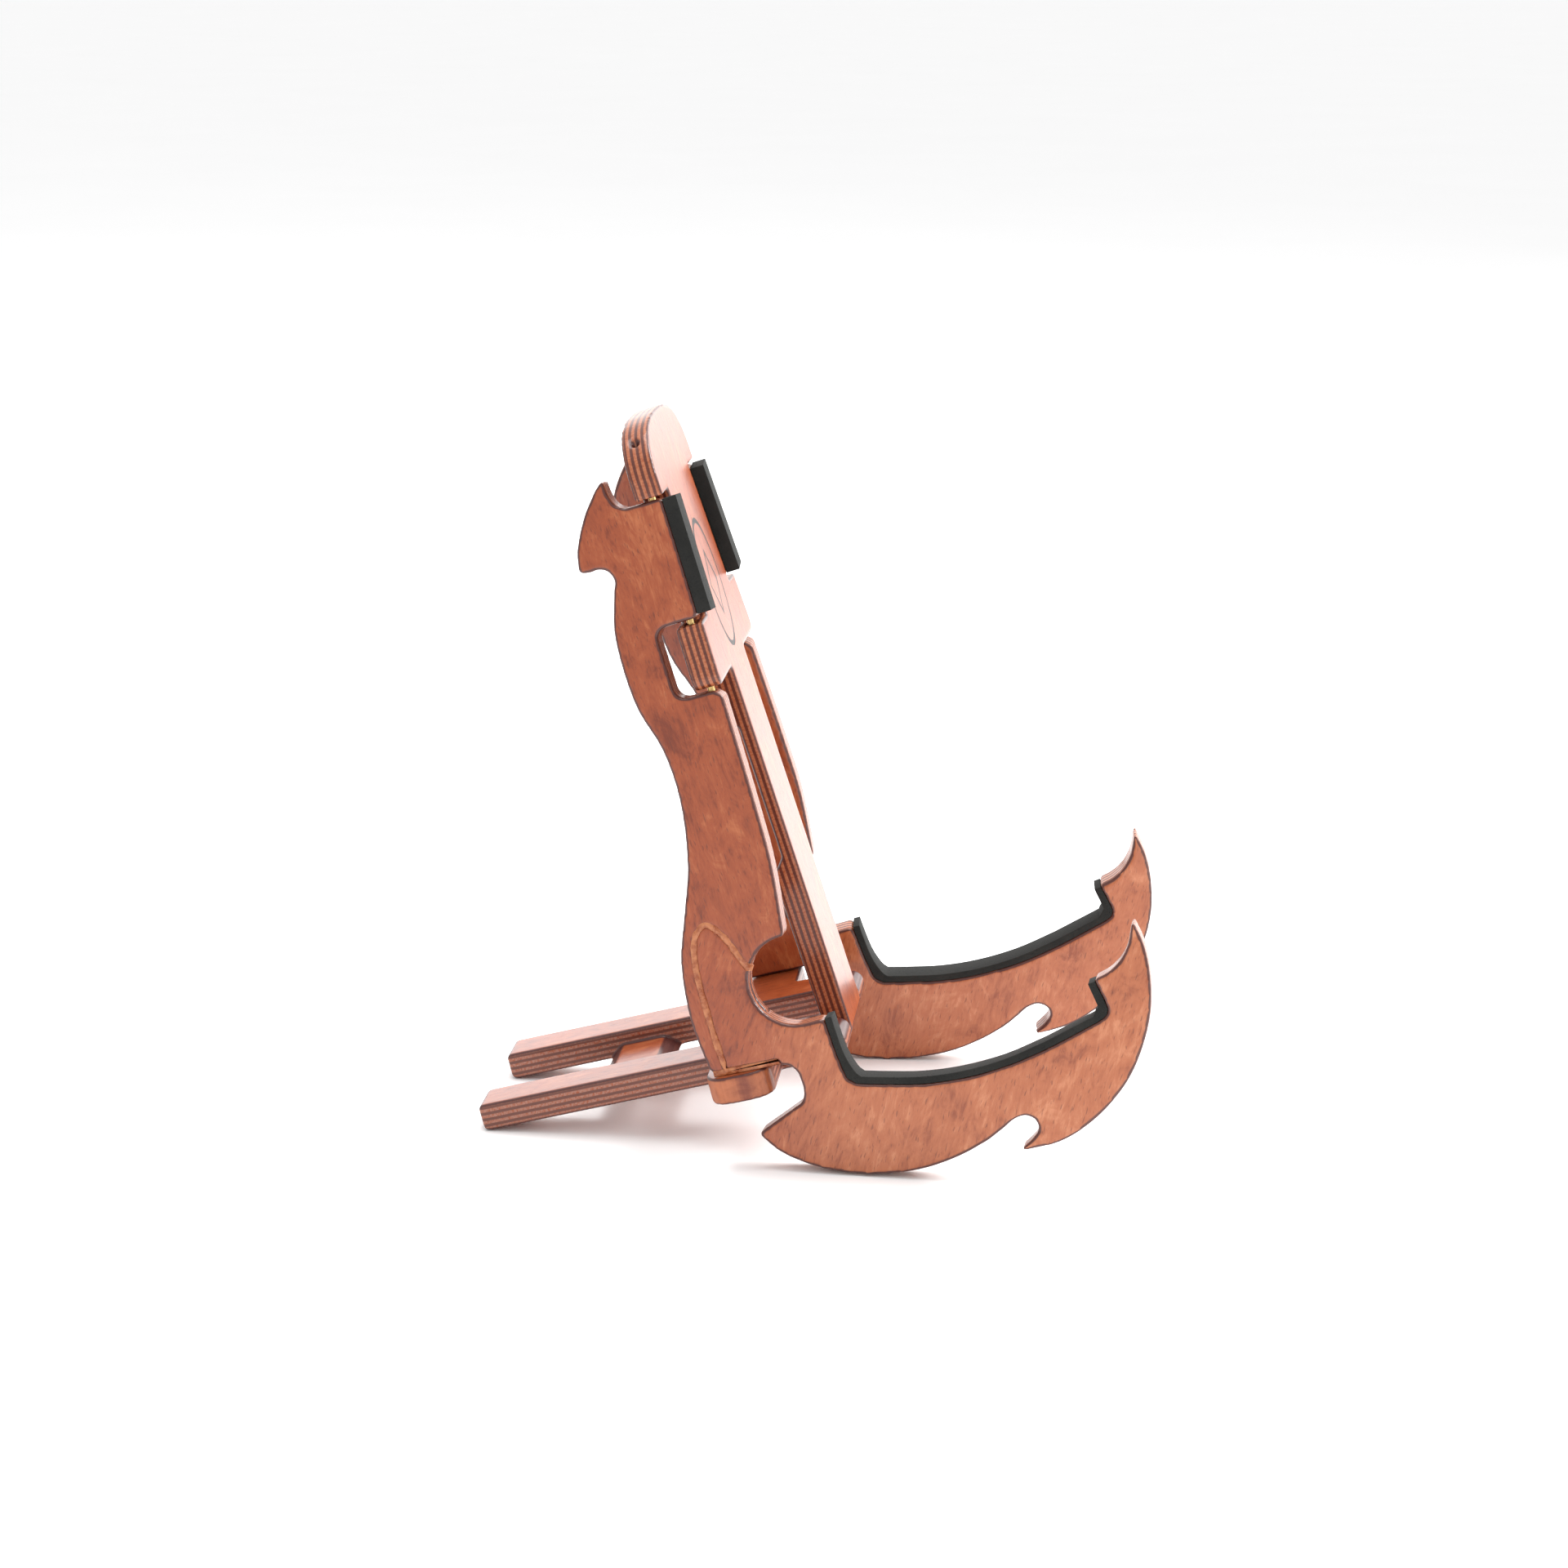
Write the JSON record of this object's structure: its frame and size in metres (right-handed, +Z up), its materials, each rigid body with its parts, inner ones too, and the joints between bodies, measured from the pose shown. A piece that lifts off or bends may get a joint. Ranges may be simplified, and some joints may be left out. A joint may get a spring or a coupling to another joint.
{
  "type": "folding guitar stand",
  "caption": "Folding plywood guitar stand: leaning spine, two hinged side panels with padded cradle arms, and a pivoting fork base.",
  "frame": {"origin": "centre of the footprint on the floor", "axes": "+Z up, the cradle arms point to -Y, +X is across the stand"},
  "size_m": [0.1622, 0.2895, 0.3112],
  "materials": {
    "spine_ply": "stained birch plywood, semi-gloss lacquer",
    "leg_ply": "stained birch plywood, semi-gloss lacquer",
    "arm_ply": "stained birch plywood, semi-gloss lacquer",
    "base_ply": "stained birch plywood, semi-gloss lacquer",
    "foam": "matt closed-cell foam rubber",
    "brass": "satin",
    "steel": "satin"
  },
  "bodies": {
    "frame": {"spine": "spine_ply", "hinge_rod_left": "brass", "hinge_rod_right": "brass", "base_pin": "steel"},
    "panel_left": {"leg_left": "leg_ply", "arm_left": "arm_ply", "back_pad_left": "foam", "cradle_pad_left": "foam"},
    "panel_right": {"leg_right": "leg_ply", "arm_right": "arm_ply", "back_pad_right": "foam", "cradle_pad_right": "foam"},
    "fork": {"base": "base_ply"}
  },
  "joints": [
    {"name": "panel_left_fold", "type": "hinge", "parent": "frame", "child": "panel_left", "pos_m": [-0.0458, 0.05114, 0.2341], "axis": [0.108, 0.3072, 0.9455], "range_deg": [0, 24]},
    {"name": "panel_right_fold", "type": "hinge", "parent": "frame", "child": "panel_right", "pos_m": [0.0458, 0.05114, 0.2341], "axis": [0.108, -0.3072, -0.9455], "range_deg": [0, 24]},
    {"name": "base_fold", "type": "hinge", "parent": "frame", "child": "fork", "pos_m": [0, -0.0103, 0.045], "axis": [-1, 0, 0], "range_deg": [0, 20]}
  ]
}
